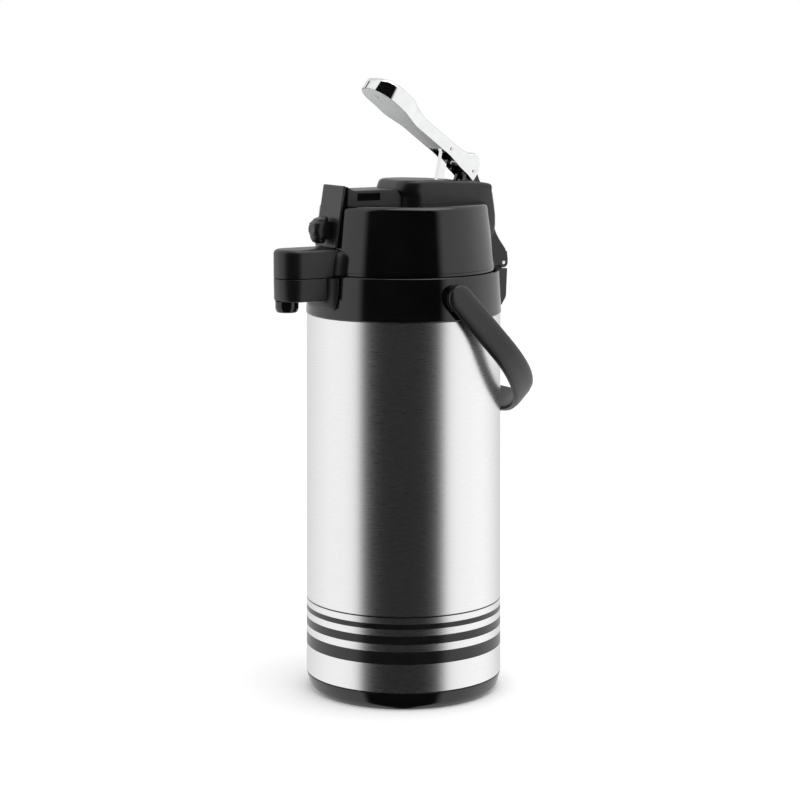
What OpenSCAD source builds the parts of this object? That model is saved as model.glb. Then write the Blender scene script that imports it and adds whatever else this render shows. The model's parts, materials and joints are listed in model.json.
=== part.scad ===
// Lever airpot: a vacuum-flask coffee dispenser with a hinged pump lid.
// Origin: centre of the resting face. +Z up, spout towards -Y, handle pivots on the X axis.

/* [Body] */
// Radius of the steel casing at its foot
body_r = 82.5; // [81:0.5:85]
// Height of the steel casing
casing_h = 305; // [270:5:330]
// How much the casing narrows towards its top
casing_taper = 2; // [1:0.5:3]
// Thickness of the casing sheet
sheet_t = 0.8; // [0.6:0.1:1]
// Visible height of the base cup
base_h = 15; // [13:1:18]

/* [Collar and lid] */
// Height of the collar above the casing
collar_h = 35; // [34:1:38]
// Height of the lid drum above the collar
drum_h = 56; // [54:1:58]
// Wall of the moulded shells
wall = 2.4; // [2:0.2:2.8]
// Furthest the spout reaches from the pot's axis
spout_reach = 120.5; // [118:0.5:128]
// Half width of the spout and of the front cover
spout_half = 16.5; // [15:0.5:18]

/* [Lever and pump] */
// Angle of the lever above level when it is up
lever_up = 36; // [30:1:38]
// Length of the lever from its pivot to its tip
lever_len = 121; // [110:1:124]
// Distance between the pins of the pump link
link_len = 40; // [38:0.5:42]
// Outer radius of the bellows
bellows_r = 34; // [30:1:34]

/* [Handle] */
// Reach of the bail from its pivot axis
bail_reach = 135; // [135:0.5:138]
// Width of the bail's band
bail_w = 25; // [20:1:25]
// Thickness of the bail's band
bail_t = 5.5; // [4.5:0.5:6]
// Angle of the resting bail below level
bail_down = 46.5; // [43:0.5:46.5]

/* [Hidden] */
$fn = 96;
eps = 0.02;

// levels
collar_z = base_h + casing_h;
seam_z = collar_z + collar_h;
drum_foot = seam_z - 10;
plate_t = 3;
plate_z = drum_foot - plate_t;
drum_top = seam_z + drum_h;
funnel_top = collar_z + 14;
lip_z = collar_z;

// radii
casing_top_r = body_r - casing_taper;
collar_foot_r = casing_top_r + 0.8;
collar_top_r = collar_foot_r - 2;
collar_in_r = collar_top_r - 3;
drum_low_r = collar_top_r - 3.8;
drum_high_r = drum_low_r - 5;
spout_clear_r = collar_foot_r + 0.4;

// flask
flask_r = 74;
neck_r = 37;
neck_in_r = 32;
glass_t = 1.2;
flask_gap = 6;
flask_floor = 28;
shoulder_z = collar_z - 80;
neck_z = collar_z - 35;

// dip tube and valve
tube_y = -12;
tube_r = 5;
valve_r = 7.5;
ball_r = 3.8;
seat_r = 3;
seat_z = drum_foot + 3;
pipe_z = seam_z + 7;
pipe_r = 4.5;
nozzle_y = -(spout_reach - 9.5);
nozzle_r = 9.5;

// spout
spout_floor = collar_z + 15;
spout_seam = collar_z + 33.5;
spout_top = seam_z + 22;
nose_round = spout_half - 1;
flange_half = 26;

// top cover and front cover
saddle_half = 28;
saddle_front = drum_top + 20;
recess_z = drum_top + 12;
tower_z = drum_top + 16;
tower_back = -57;

// hinge
hinge_y = 87;
hinge_z = seam_z + 3;
hinge_r = 1.45;
knuckle_r = 4.2;
knuckle_half = 11.7;
hinge_half = 20;

// handle
bail_z = collar_z + 18;
arm_in = 84;
boss_r = 11;
bail_corner = 77;
pivot_pin_r = 4;

// lever, link and plunger
pivot_y = 62;
pivot_z = drum_top + 24;
lever_half = 12;
lever_t = 1.2;
paddle_half = 19.5;
paddle_u = 72;
neck_plate = 10.6;
plate_u = 36;
link_u = 29;
link_v = 2.5;
pump_y = 32;
link_y = pivot_y - link_u * cos(lever_up) + link_v * sin(lever_up);
link_z = pivot_z + link_u * sin(lever_up) + link_v * cos(lever_up);
link_tilt = asin((link_y - pump_y) / link_len);
plunger_z = link_z - link_len * cos(link_tilt);
bellows_top = drum_top - 20;
pin_r = 1.5;

// lock
lock_z = seam_z + 36;
bolt_x = 7;
bolt_w = 5;
bolt_y = -66;
bolt_t = 4;
catch_y = -58;
post_y = catch_y + 3.4;
lock_neck = 5;

black = [0.06, 0.06, 0.065];
steel = [0.72, 0.73, 0.74];
clear = [0.85, 0.87, 0.88];
white = [0.9, 0.9, 0.88];

function arc(cx, cy, rx, ry, from, to, n = 10) =
    [for (i = [0:n]) let (a = from + (to - from) * i / n) [cx + rx * cos(a), cy + ry * sin(a)]];

// radius of the drum's outside at a height above the collar seam
function drum_r(z) = drum_low_r - (drum_low_r - drum_high_r) * (z - seam_z) / (drum_h - 4);

module turned(outline) rotate_extrude() polygon(outline);
module ring(outer, inner, z0, z1) {
    translate([0, 0, z0]) difference() {
        cylinder(r = outer, h = z1 - z0);
        translate([0, 0, -1]) cylinder(r = inner, h = z1 - z0 + 2);
    }
}
module rod_x(r, x0, x1, y, z) translate([x0, y, z]) rotate([0, 90, 0]) cylinder(r = r, h = x1 - x0);
module rod_y(r, y0, y1, z) translate([0, y1, z]) rotate([90, 0, 0]) cylinder(r = r, h = y1 - y0);
module slab_x(x0, x1, outline) {
    translate([x0, 0, 0]) rotate([90, 0, 90]) linear_extrude(x1 - x0) polygon(outline);
}
module block(low, high) translate(low) cube(high - low);
module both_sides() {
    children();
    mirror([1, 0, 0]) children();
}

// ---- pot -------------------------------------------------------------

module base_cup() {
    foot_r = body_r - 6.5;
    rim_in = body_r - sheet_t - 3;
    color(black) turned(concat(
        [[0, 0]],
        arc(foot_r, 7, 4.5, 7, -90, 0, 6),
        [[body_r, base_h], [body_r - sheet_t - 0.4, base_h], [body_r - sheet_t - 0.6, base_h + 8],
         [rim_in, base_h + 8], [rim_in - 1, 8], [rim_in - 6, 3], [0, 3]]
    ));
}

module steel_casing() {
    color(steel) turned([
        [body_r, base_h], [casing_top_r, collar_z],
        [casing_top_r - sheet_t, collar_z], [body_r - sheet_t, base_h]
    ]);
}

module flask_cushion() {
    color("dimgray") ring(44, 30, 3, flask_floor);
}

module flask_wall(r, neck, floor_z, drop) {
    turned(concat(
        [[0, floor_z]],
        arc(r - 30, floor_z + 26, 30, 26, -90, 0),
        arc(neck, shoulder_z - drop, r - neck, neck_z - shoulder_z, 0, 90),
        [[neck, lip_z - 3], [neck - glass_t, lip_z - 3]],
        arc(neck - glass_t, shoulder_z - drop, r - neck, neck_z - shoulder_z - glass_t, 90, 0),
        arc(r - 30, floor_z + 26, 30 - glass_t, 26 - glass_t, 0, -90),
        [[0, floor_z + glass_t]]
    ));
}

module flask_outer_wall() {
    color(clear) flask_wall(flask_r, neck_r, flask_floor, 0);
}

module flask_inner_wall() {
    color(clear) union() {
        flask_wall(flask_r - flask_gap, neck_in_r + glass_t, flask_floor + flask_gap, 4);
        ring(neck_r, neck_in_r, lip_z - 3, lip_z);
    }
}

module neck_seal() {
    color(white) ring(neck_r + 2, neck_in_r + 1, lip_z, lip_z + 4);
}

module collar() {
    ledge_z = collar_z + 4;
    color(black) difference() {
        union() {
            turned([
                [casing_top_r - sheet_t - 0.4, collar_z - 12], [casing_top_r - sheet_t - 0.4, collar_z],
                [collar_foot_r, collar_z], [collar_top_r, seam_z], [collar_in_r, seam_z],
                [collar_in_r + 0.8, ledge_z], [60, ledge_z], [60, collar_z],
                [collar_in_r - 0.6, collar_z], [collar_in_r - 0.6, collar_z - 12]
            ]);
            difference() {
                both_sides() rod_x(boss_r, collar_top_r - 2, arm_in - 0.7, 0, bail_z);
                cylinder(r = collar_in_r + 1, h = seam_z);
            }
            difference() {
                union() {
                    slab_x(-hinge_half, hinge_half, [
                        [collar_top_r - 3, collar_z + 1], [hinge_y + 2, collar_z + 6],
                        [hinge_y + knuckle_r, hinge_z], [hinge_y - knuckle_r, hinge_z],
                        [collar_top_r - 3, seam_z]
                    ]);
                    rod_x(knuckle_r, -knuckle_half, knuckle_half, hinge_y, hinge_z);
                }
                cylinder(r = collar_in_r + 1, h = seam_z + 20);
                both_sides() union() {
                    rod_x(knuckle_r + 1.2, knuckle_half, hinge_half + 1, hinge_y, hinge_z);
                    block([knuckle_half, 0, seam_z + eps], [hinge_half + 1, hinge_y - 3, seam_z + 20]);
                }
                block([-30, 0, seam_z + eps], [30, hinge_y - knuckle_r - 0.1, seam_z + 20]);
            }
        }
        rod_x(hinge_r, -hinge_half - 1, hinge_half + 1, hinge_y, hinge_z);
        both_sides() rod_x(pivot_pin_r, 70, arm_in, 0, bail_z);
    }
}

module mouth_funnel() {
    floor_z = collar_z + 4;
    step_z = collar_z + 7;
    color(white) difference() {
        turned([
            [33, floor_z], [collar_in_r, floor_z], [collar_in_r, funnel_top],
            [43, funnel_top], [40, step_z], [33, step_z]
        ]);
        block([bolt_x - 1, bolt_y - 4, funnel_top - 3], [bolt_x + bolt_w + 1, catch_y, funnel_top + 1]);
        block([bolt_x - 1, post_y, funnel_top - 6], [bolt_x + bolt_w + 1, post_y + 3, funnel_top + 1]);
    }
}

module lid_catch() {
    hook_z = funnel_top + 4;
    hook_t = 2.5;
    color(steel) slab_x(bolt_x - 1, bolt_x + bolt_w + 1, [
        [post_y, funnel_top - 6], [post_y + 3, funnel_top - 6], [post_y + 3, hook_z + hook_t],
        [catch_y, hook_z + hook_t], [catch_y, hook_z], [post_y, hook_z]
    ]);
}

module tube_holder() {
    low = collar_z + 1;
    step_z = collar_z + 7;
    color(white) difference() {
        union() {
            ring(neck_in_r - 0.3, neck_in_r - 3, low, step_z);
            ring(36, neck_in_r - 3, step_z, step_z + 2);
            translate([0, tube_y, low]) cylinder(r = 8, h = 8);
            both_sides() block([7, tube_y - 2, low], [neck_in_r - 5, tube_y + 2, low + 6]);
            block([-2, -neck_in_r + 2, low], [2, tube_y - 7, low + 6]);
        }
        translate([0, tube_y, low - 1]) cylinder(r = tube_r, h = 12);
    }
}

module dip_tube() {
    color(clear) translate([0, tube_y, 0])
        ring(tube_r, tube_r - 1.5, flask_floor + flask_gap + 6, plate_z - 2);
}

module tube_gasket() {
    color("gray") translate([0, tube_y, 0]) ring(8, tube_r, collar_z + 9, plate_z - 0.8);
}

module handle_pivot_pins() {
    color(steel) both_sides() rod_x(pivot_pin_r, 79, arm_in + bail_t - 2, 0, bail_z);
}

module hinge_pin() {
    color(steel) rod_x(hinge_r, -hinge_half, hinge_half, hinge_y, hinge_z);
}

// ---- carrying handle -------------------------------------------------

module bail_outline(half, reach, corner) {
    polygon(concat(
        [[half, 0]],
        arc(half - corner, reach - corner, corner, corner, 0, 90, 16),
        arc(corner - half, reach - corner, corner, corner, 90, 180, 16),
        [[-half, 0]]
    ));
}

module carry_handle() {
    arm_out = arm_in + bail_t;
    half_t = bail_t / 2;
    color(black) difference() {
        translate([0, 0, bail_z]) rotate([-bail_down, 0, 0]) union() {
            translate([0, 0, -bail_w / 2]) linear_extrude(bail_w) difference() {
                bail_outline(arm_out, bail_reach + half_t, bail_corner + half_t);
                translate([0, -eps]) bail_outline(arm_in, bail_reach - half_t, bail_corner - half_t);
            }
            both_sides() rod_x(bail_w / 2, arm_in, arm_out, 0, 0);
        }
        both_sides() rod_x(pivot_pin_r + 0.06, 80, arm_out - 1.8, 0, bail_z);
    }
}

// ---- lid -------------------------------------------------------------

module drum_solid(inset = 0) {
    turned(concat(
        [[0, drum_foot + (inset > 0 ? -1 : 0)], [collar_in_r - 1.6 - inset, drum_foot + (inset > 0 ? -1 : 0)],
         [drum_low_r - inset, seam_z + 1]],
        arc(drum_high_r - 4, drum_top - 4, 4 - min(inset, 3), 4 - inset, 0, 90, 6),
        [[0, drum_top - inset]]
    ));
}

module at_lid_posts() for (x = [-45, 45], y = [-45, 45]) translate([x, y, 0]) children();

module lid_shell() {
    color(black) difference() {
        union() {
            difference() {
                drum_solid();
                drum_solid(wall);
            }
            at_lid_posts() translate([0, 0, drum_foot]) cylinder(r = 4, h = drum_h + 8);
        }
        at_lid_posts() translate([0, 0, drum_foot - 1]) cylinder(r = 1.5, h = 15);
        block([-14.5, -90, drum_foot + 5], [14.5, -40, drum_top - 7]);
        translate([0, pump_y, drum_top - 6]) cylinder(r = 24, h = 12);
    }
}

module lid_base() {
    color(black) difference() {
        translate([0, 0, plate_z]) cylinder(r = collar_in_r - 2.8, h = plate_t);
        at_lid_posts() translate([0, 0, plate_z - 1]) cylinder(r = 1.5, h = 6);
        translate([0, tube_y, plate_z - 1]) cylinder(r = seat_r, h = 6);
        translate([0, pump_y, plate_z - 1]) cylinder(r = 2, h = 6);
        block([bolt_x - 0.6, bolt_y - 0.8, plate_z - 1], [bolt_x + bolt_w + 0.6, catch_y + 3, drum_foot + 1]);
    }
}

module lid_gasket() {
    color("gray") ring(50, 44.5, funnel_top + 0.4, plate_z);
}

module lid_screws() {
    color(steel) at_lid_posts() union() {
        translate([0, 0, plate_z - 2]) cylinder(r = 3.2, h = 2);
        translate([0, 0, plate_z]) cylinder(r = 1.5, h = 15);
    }
}

module top_cover() {
    spine_z = hinge_z + 5;
    cheek_x = knuckle_half + 0.3;
    step_z = drum_top + 13;
    outer = [
        [tower_back, drum_top], [tower_back, recess_z], [-17, recess_z], [-15, saddle_front],
        [48, saddle_front - 3], [53, step_z], [69, step_z], [72, drum_top + 8],
        [76, seam_z + 43], [80, seam_z + 27], [hinge_y - 1, seam_z + 14], [hinge_y + 3, spine_z + 2],
        [hinge_y + 3, spine_z], [drum_low_r - 2, spine_z], [60, drum_top]
    ];
    inner = [
        [tower_back + wall, drum_top - 1], [tower_back + wall, recess_z - wall], [-13, recess_z - wall],
        [-12, saddle_front - wall - 1], [45, saddle_front - 3 - wall], [50, step_z - wall],
        [60, step_z - wall], [62, drum_top - 1]
    ];
    color(black) difference() {
        union() {
            difference() {
                slab_x(-saddle_half, saddle_half, outer);
                drum_solid();
                slab_x(-saddle_half + wall, saddle_half - wall, inner);
                block([saddle_half - 8, 60, 0], [saddle_half + 1, 110, seam_z + 30]);
                mirror([1, 0, 0]) block([saddle_half - 8, 60, 0], [saddle_half + 1, 110, seam_z + 30]);
            }
            both_sides() union() {
                rod_x(knuckle_r, cheek_x, hinge_half, hinge_y, hinge_z);
                slab_x(cheek_x, hinge_half, [
                    [hinge_y - knuckle_r, hinge_z], [hinge_y + knuckle_r, hinge_z],
                    [hinge_y + 3, spine_z + 1], [hinge_y - knuckle_r, spine_z + 1]
                ]);
            }
        }
        rod_x(hinge_r + 0.05, -30, 30, hinge_y, hinge_z);
        block([-8, 22, drum_top + 4], [8, 46, drum_top + 30]);
        for (y = [57, 67]) translate([0, y, drum_top + 4]) cylinder(r = 1.4, h = 20);
    }
}

module front_cover() {
    face_top = -67;
    face_low = -75.5;
    color(black) difference() {
        slab_x(-spout_half, spout_half, [
            [face_low, spout_top + 0.2], [face_top, tower_z], [tower_back - 0.2, tower_z],
            [tower_back - 0.2, drum_top], [-60, spout_top + 0.2]
        ]);
        drum_solid();
        slab_x(-spout_half + wall, spout_half - wall, [
            [face_low + wall, spout_top + 5], [face_top + wall, tower_z - wall],
            [tower_back - wall, tower_z - wall], [tower_back - wall, drum_top - 2], [-62, spout_top + 5]
        ]);
        block([-lock_neck - 0.4, -90, lock_z - 7.9], [lock_neck + 0.4, -60, lock_z + 7.9]);
    }
}

module nose_plan(half, reach, round) {
    polygon(concat(
        [[half, -60]],
        arc(half - round, round - reach, round, round, 0, -90, 6),
        arc(round - half, round - reach, round, round, -90, -180, 6),
        [[-half, -60]]
    ));
}

// what the spout must keep clear of: the collar below the seam, the drum above it
module spout_keep_out() {
    cylinder(r = spout_clear_r, h = seam_z + 0.6);
    drum_solid();
    cylinder(r = drum_r(spout_top) - 0.4, h = spout_top + 20);
}

module spout_upper() {
    color(black) difference() {
        union() {
            translate([0, 0, spout_seam + 0.1]) linear_extrude(spout_top - spout_seam - 0.1)
                nose_plan(spout_half, spout_reach, nose_round);
            intersection() {
                ring(spout_clear_r + 3, 60, spout_seam + 0.1, spout_top - 1);
                block([-flange_half, -120, 0], [flange_half, -50, 500]);
            }
        }
        spout_keep_out();
        translate([0, 0, spout_seam - 1]) linear_extrude(spout_top - spout_seam + 1 - wall)
            nose_plan(spout_half - wall, spout_reach - wall, nose_round - wall);
    }
}

module spout_lower() {
    foot_z = collar_z + 7;
    color(black) difference() {
        union() {
            translate([0, 0, spout_floor]) linear_extrude(spout_seam - spout_floor)
                nose_plan(spout_half, spout_reach, nose_round);
            intersection() {
                ring(spout_clear_r + 3, 60, foot_z, spout_seam);
                block([-flange_half, -120, 0], [flange_half, -50, 500]);
            }
        }
        spout_keep_out();
        difference() {
            translate([0, 0, spout_floor + wall]) linear_extrude(40)
                nose_plan(spout_half - wall, spout_reach - wall, nose_round - wall);
            cylinder(r = spout_clear_r + 2, h = spout_seam - 4);
        }
        translate([0, nozzle_y, spout_floor - 1]) cylinder(r = nozzle_r - 2, h = 6);
    }
}

module nozzle() {
    color(black) translate([0, nozzle_y, 0]) difference() {
        union() {
            translate([0, 0, spout_floor - 9]) cylinder(r = nozzle_r, h = 9);
            translate([0, 0, spout_floor]) cylinder(r = nozzle_r - 2, h = 6);
        }
        translate([0, 0, spout_floor - 10]) cylinder(r = 6, h = 9);
        translate([0, 0, spout_floor - 10]) cylinder(r = pipe_r, h = 20);
    }
}

module delivery_pipe() {
    bore = pipe_r - 1.5;
    start_y = tube_y - valve_r;
    color(white) difference() {
        union() {
            rod_y(pipe_r, nozzle_y, start_y, pipe_z);
            translate([0, nozzle_y, spout_floor - 1]) cylinder(r = pipe_r, h = pipe_z - spout_floor + 1);
            translate([0, nozzle_y, pipe_z]) sphere(r = pipe_r);
        }
        rod_y(bore, nozzle_y, start_y + 1, pipe_z);
        translate([0, nozzle_y, spout_floor - 2]) cylinder(r = bore, h = pipe_z - spout_floor + 2);
        translate([0, tube_y, pipe_z - 10]) cylinder(r = valve_r, h = 20);
    }
}

module valve_cage() {
    color(white) translate([0, tube_y, 0]) difference() {
        translate([0, 0, drum_foot]) cylinder(r = valve_r, h = 27);
        translate([0, 0, drum_foot - 1]) cylinder(r = seat_r, h = 6);
        translate([0, 0, seat_z]) cylinder(r = ball_r + 0.5, h = 21);
        rod_y(pipe_r - 1.5, -10, 0, pipe_z);
    }
}

module valve_ball() {
    color(steel) translate([0, tube_y, seat_z + sqrt(ball_r * ball_r - seat_r * seat_r) + 0.3])
        sphere(r = ball_r);
}

module bellows() {
    folds = 5;
    low = drum_foot + 1;
    pitch = (bellows_top - low) / folds;
    skin = 1;
    color("gray") translate([0, pump_y, 0]) turned(concat(
        [[0, low - 1], [bellows_r - 4, low - 1]],
        [for (i = [0:folds - 1], k = [0, 1])
            [bellows_r - (k == 0 ? 6 : 0), low + (i + k / 2) * pitch]],
        [[bellows_r - 6, bellows_top], [bellows_r - 6 - skin, bellows_top]],
        [for (i = [folds - 1:-1:0], k = [1, 0])
            [bellows_r - skin - (k == 0 ? 6 : 0), low + (i + k / 2) * pitch]],
        [[0, low]]
    ));
}

module return_spring() {
    turns = 5;
    per_turn = 16;
    sides = 6;
    coil_r = 13;
    wire_r = 0.8;
    low = drum_foot + 2.2;
    rise = bellows_top - low - wire_r - 0.4;
    steps = turns * per_turn;
    points = [for (i = [0:steps], k = [0:sides - 1])
        let (a = i * 360 / per_turn, b = k * 360 / sides, r = coil_r + wire_r * cos(b))
        [r * cos(a), r * sin(a) + pump_y, low + rise * i / steps + wire_r * sin(b)]];
    faces = [for (i = [0:steps - 1], k = [0:sides - 1])
        let (n = (k + 1) % sides)
        [i * sides + k, (i + 1) * sides + k, (i + 1) * sides + n, i * sides + n]];
    color(steel) polyhedron(points, concat(
        faces,
        [[for (k = [0:sides - 1]) k], [for (k = [sides - 1:-1:0]) steps * sides + k]]
    ), convexity = 6);
}

module intake_valve() {
    color("gray") translate([0, pump_y, plate_z - 1]) cylinder(r = 8, h = 1);
}

module lever_bracket() {
    foot_z = drum_top + 13;
    color(black) difference() {
        union() {
            block([-9, 54, foot_z], [9, 70, foot_z + 2.5]);
            both_sides() slab_x(5, 8.6, concat(
                [[54, foot_z + 2], [70, foot_z + 2]],
                arc(pivot_y, pivot_z, 4, 4, 20, 160, 8)
            ));
        }
        rod_x(pin_r + 0.05, -20, 20, pivot_y, pivot_z);
        for (y = [57, 67]) translate([0, y, foot_z - 1]) cylinder(r = 1.4, h = 6);
    }
}

module bracket_screws() {
    foot_z = drum_top + 15.5;
    color(steel) for (y = [57, 67]) translate([0, y, 0]) union() {
        translate([0, 0, foot_z - 10]) cylinder(r = 1.4, h = 10);
        translate([0, 0, foot_z]) cylinder(r = 2.8, h = 1.4);
    }
}

module lever_pivot_pin() {
    color(steel) rod_x(pin_r, -lever_half - 0.5, lever_half + 0.5, pivot_y, pivot_z);
}

module lock_button() {
    back_high = -74.6;
    back_low = -78.2;
    tip_y = -88;
    color(black) union() {
        slab_x(-7, 7, concat(
            [[back_high, lock_z + 11], [back_low, lock_z - 10.5]],
            arc(tip_y + 5, lock_z - 5, 5, 5, -110, -180, 5),
            [[tip_y + 1, lock_z + 4]]
        ));
        block([-lock_neck, tip_y + 8, lock_z - 7.5], [lock_neck, bolt_y, lock_z + 7.5]);
    }
}

module lock_bolt() {
    tongue_z = funnel_top + 0.6;
    color(steel) union() {
        block([-3, bolt_y, lock_z - 5], [bolt_x + bolt_w, bolt_y + bolt_t, lock_z + 5]);
        block([bolt_x, bolt_y, tongue_z], [bolt_x + bolt_w, bolt_y + bolt_t, lock_z]);
        block([bolt_x, bolt_y, tongue_z], [bolt_x + bolt_w, catch_y - 0.5, tongue_z + 3]);
    }
}

// ---- lever and pump linkage ------------------------------------------

// the lever's own frame: x across, -y along it from the pivot, z out of its top
module in_lever() translate([0, pivot_y, pivot_z]) rotate([-lever_up, 0, 0]) children();

module paddle_plan(half, tip) {
    polygon(concat(
        [[half, -paddle_u - 12]],
        arc(0, paddle_half - lever_len, half, tip, 0, -180, 24),
        [[-half, -paddle_u - 12], [-lever_half + lever_t, -paddle_u], [lever_half - lever_t, -paddle_u]]
    ));
}

module lever_shell() {
    side = [
        [4, -7.3], [-6.5, -5.7], [-32, -2.8], [-paddle_u - 8, -2], [-paddle_u - 20, 0.5],
        [-paddle_u - 8, 11.5],
        [-paddle_u + 8, 9], [-14, 8.5], [-7, 13.4], [-1, 11.3], [3, 5.4]
    ];
    under = [
        [10, -10], [-paddle_u - 4, -10], [-paddle_u - 4, 9.8], [-paddle_u + 8, 7.8], [-14, 7.3],
        [-7, 12], [-2, 10], [10, 0]
    ];
    color(steel) in_lever() difference() {
        union() {
            difference() {
                slab_x(-lever_half, lever_half, side);
                slab_x(-lever_half + lever_t, lever_half - lever_t, under);
            }
            difference() {
                translate([0, 0, 0.5]) linear_extrude(12.5) paddle_plan(paddle_half, paddle_half);
                translate([0, 0, -0.5]) linear_extrude(12.3)
                    paddle_plan(paddle_half - lever_t, paddle_half - lever_t);
            }
            for (u = [86, 108]) translate([0, -u, 0.5]) cylinder(r = 2.8, h = 12);
        }
        for (u = [86, 108]) translate([0, -u, -1]) cylinder(r = 1.2, h = 8);
        translate([0, 0, -10]) linear_extrude(10.5) paddle_plan(paddle_half - 0.5, paddle_half - 0.5);
        slab_x(-lever_half + lever_t, lever_half - lever_t, [
            [-plate_u + 1, -10], [-paddle_u - 20, -10], [-paddle_u - 20, 0.5], [-paddle_u + 1, 0.5],
            [-plate_u + 1, -1]
        ]);
        rod_x(pin_r, -20, 20, 0, 0);
        rod_x(pin_r, -20, 20, -link_u, link_v);
    }
}

module lever_cover() {
    root_v = -3.2;
    color(steel) in_lever() difference() {
        union() {
            translate([0, 0, -1.5]) linear_extrude(2) paddle_plan(paddle_half - 0.6, paddle_half - 0.6);
            slab_x(-neck_plate, neck_plate, [
                [-plate_u, root_v], [-paddle_u - 8, root_v], [-paddle_u - 11, -1.5],
                [-paddle_u - 11, 0.4], [-paddle_u, -1.2], [-plate_u, -1.2]
            ]);
        }
        for (u = [86, 108]) translate([0, -u, -4]) cylinder(r = 1.2, h = 10);
    }
}

module cover_screws() {
    color(steel) in_lever() for (u = [86, 108]) translate([0, -u, 0]) union() {
        translate([0, 0, -2.1]) cylinder(r = 2.4, h = 0.6);
        translate([0, 0, -1.5]) cylinder(r = 1.2, h = 8);
    }
}

module link_pin() {
    color(steel) in_lever() rod_x(pin_r, -lever_half - 0.5, lever_half + 0.5, -link_u, link_v);
}

module pump_link() {
    half = 2.5;
    color(steel) translate([0, link_y, link_z]) rotate([-link_tilt, 0, 0]) difference() {
        union() {
            rod_x(4.5, -half, half, 0, 0);
            rod_x(5.5, -half, half, 0, -link_len);
            block([-half, -3, -link_len], [half, 3, 0]);
        }
        rod_x(pin_r + 0.05, -9, 9, 0, 0);
        rod_x(pin_r + 1.7, -9, 9, 0, -link_len);
    }
}

module plunger() {
    color(white) difference() {
        union() {
            translate([0, pump_y, bellows_top]) cylinder(r = bellows_r - 4, h = 3);
            translate([0, pump_y, bellows_top + 2]) cylinder(r = 7.5, h = plunger_z - bellows_top - 9);
            both_sides() slab_x(3, 7, concat(
                [[pump_y - 5, plunger_z - 9], [pump_y + 5, plunger_z - 9]],
                arc(pump_y, plunger_z, 5, 5, 0, 180, 10)
            ));
        }
        rod_x(pin_r, -12, 12, pump_y, plunger_z);
    }
}

module plunger_pin() {
    color(steel) rod_x(pin_r, -7.5, 7.5, pump_y, plunger_z);
}

base_cup();
steel_casing();
flask_cushion();
flask_outer_wall();
flask_inner_wall();
neck_seal();
collar();
mouth_funnel();
lid_catch();
tube_holder();
dip_tube();
tube_gasket();
handle_pivot_pins();
hinge_pin();
carry_handle();
lid_shell();
lid_base();
lid_gasket();
lid_screws();
top_cover();
front_cover();
spout_upper();
spout_lower();
nozzle();
delivery_pipe();
valve_cage();
valve_ball();
bellows();
return_spring();
intake_valve();
lever_bracket();
bracket_screws();
lever_pivot_pin();
lock_button();
lock_bolt();
lever_shell();
lever_cover();
cover_screws();
link_pin();
pump_link();
plunger();
plunger_pin();
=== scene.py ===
"""Lever airpot: the finished shells, handle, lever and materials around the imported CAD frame."""
import json
import math

import bmesh
import bpy
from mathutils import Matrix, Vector


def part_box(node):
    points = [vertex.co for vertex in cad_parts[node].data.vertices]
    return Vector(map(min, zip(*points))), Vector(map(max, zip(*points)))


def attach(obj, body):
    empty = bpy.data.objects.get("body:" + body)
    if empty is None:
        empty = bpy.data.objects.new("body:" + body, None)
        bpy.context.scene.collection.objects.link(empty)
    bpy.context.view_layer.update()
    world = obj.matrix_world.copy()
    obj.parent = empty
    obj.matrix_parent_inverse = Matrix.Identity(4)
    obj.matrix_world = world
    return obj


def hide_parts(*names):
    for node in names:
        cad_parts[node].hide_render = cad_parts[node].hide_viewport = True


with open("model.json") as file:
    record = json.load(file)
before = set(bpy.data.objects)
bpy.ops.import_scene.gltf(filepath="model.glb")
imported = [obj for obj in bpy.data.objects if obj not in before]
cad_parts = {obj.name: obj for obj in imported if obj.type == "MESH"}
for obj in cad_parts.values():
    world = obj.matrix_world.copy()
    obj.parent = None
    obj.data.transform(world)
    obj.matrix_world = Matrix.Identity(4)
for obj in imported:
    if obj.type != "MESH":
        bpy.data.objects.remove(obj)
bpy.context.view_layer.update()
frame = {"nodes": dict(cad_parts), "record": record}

MM = 0.001


def cad(node):
    """Lowest and highest corner of a CAD node, in millimetres."""
    low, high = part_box(node)
    return Vector(low) / MM, Vector(high) / MM


# ---- sizes read from the frame, in millimetres --------------------------------
CASING_LOW, CASING_HIGH = cad("steel_casing")
DRUM_LOW, DRUM_HIGH = cad("lid_shell")
NOSE_LOW, NOSE_HIGH = cad("spout_upper")
LOWER_NOSE_LOW = cad("spout_lower")[0]
NOZZLE_LOW, NOZZLE_HIGH = cad("nozzle")
TOWER_LOW, TOWER_HIGH = cad("front_cover")
COVER_HIGH = cad("top_cover")[1]
KNOB_LOW, KNOB_HIGH = cad("lock_button")
HANDLE_HIGH = cad("carry_handle")[1]
PIN_LOW, PIN_HIGH = cad("lever_pivot_pin")
HINGE_LOW, HINGE_HIGH = cad("hinge_pin")
HANDLE_PIN_LOW, HANDLE_PIN_HIGH = cad("handle_pivot_pins")

BODY_R = CASING_HIGH.x
CASING_Z0 = CASING_LOW.z
COLLAR_Z = CASING_HIGH.z
COLLAR_RISE = 35
SEAM_Z = COLLAR_Z + COLLAR_RISE
DRUM_TOP = DRUM_HIGH.z
DRUM_R = DRUM_HIGH.x
TAPER = 2.0
SPOUT_SEAM = NOSE_LOW.z
SPOUT_HALF = TOWER_HIGH.x
SPOUT_TIP = NOSE_LOW.y
SADDLE_HALF = COVER_HIGH.x
PIVOT = Vector((0, (PIN_LOW.y + PIN_HIGH.y) / 2, (PIN_LOW.z + PIN_HIGH.z) / 2))
HINGE = Vector((0, (HINGE_LOW.y + HINGE_HIGH.y) / 2, (HINGE_LOW.z + HINGE_HIGH.z) / 2))
BAIL_Z = (HANDLE_PIN_LOW.z + HANDLE_PIN_HIGH.z) / 2
LEVER_UP = math.radians(36)
BAIL_DOWN = math.radians(46.5)


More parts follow.
